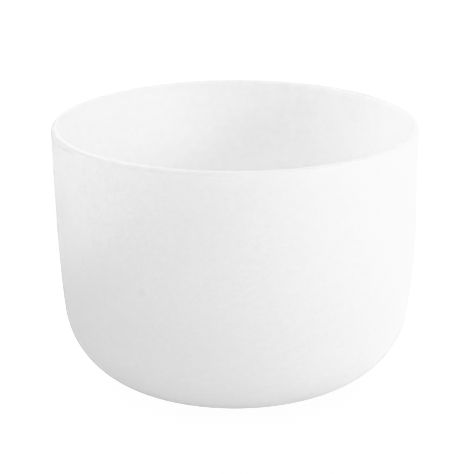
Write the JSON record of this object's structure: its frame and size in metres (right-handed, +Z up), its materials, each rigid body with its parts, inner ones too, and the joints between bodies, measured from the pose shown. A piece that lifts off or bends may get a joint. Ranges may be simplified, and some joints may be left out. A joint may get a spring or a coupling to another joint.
{
  "type": "singing bowl",
  "caption": "Deep round-bottomed singing bowl of frosted white quartz: near-vertical thin wall, large lower corner radius, gently domed floor, small flat seat and rounded open rim.",
  "frame": {"origin": "centre of the flat seat on the underside, at the height of the table the bowl stands on", "axes": "+Z up along the bowl's axis, out of the open mouth; the bowl is round, so X and Y are any two level directions"},
  "size_m": [0.2538, 0.2538, 0.188],
  "materials": {
    "frosted_quartz": "matte"
  },
  "bodies": {
    "root": {"bowl": "frosted_quartz"}
  },
  "joints": []
}
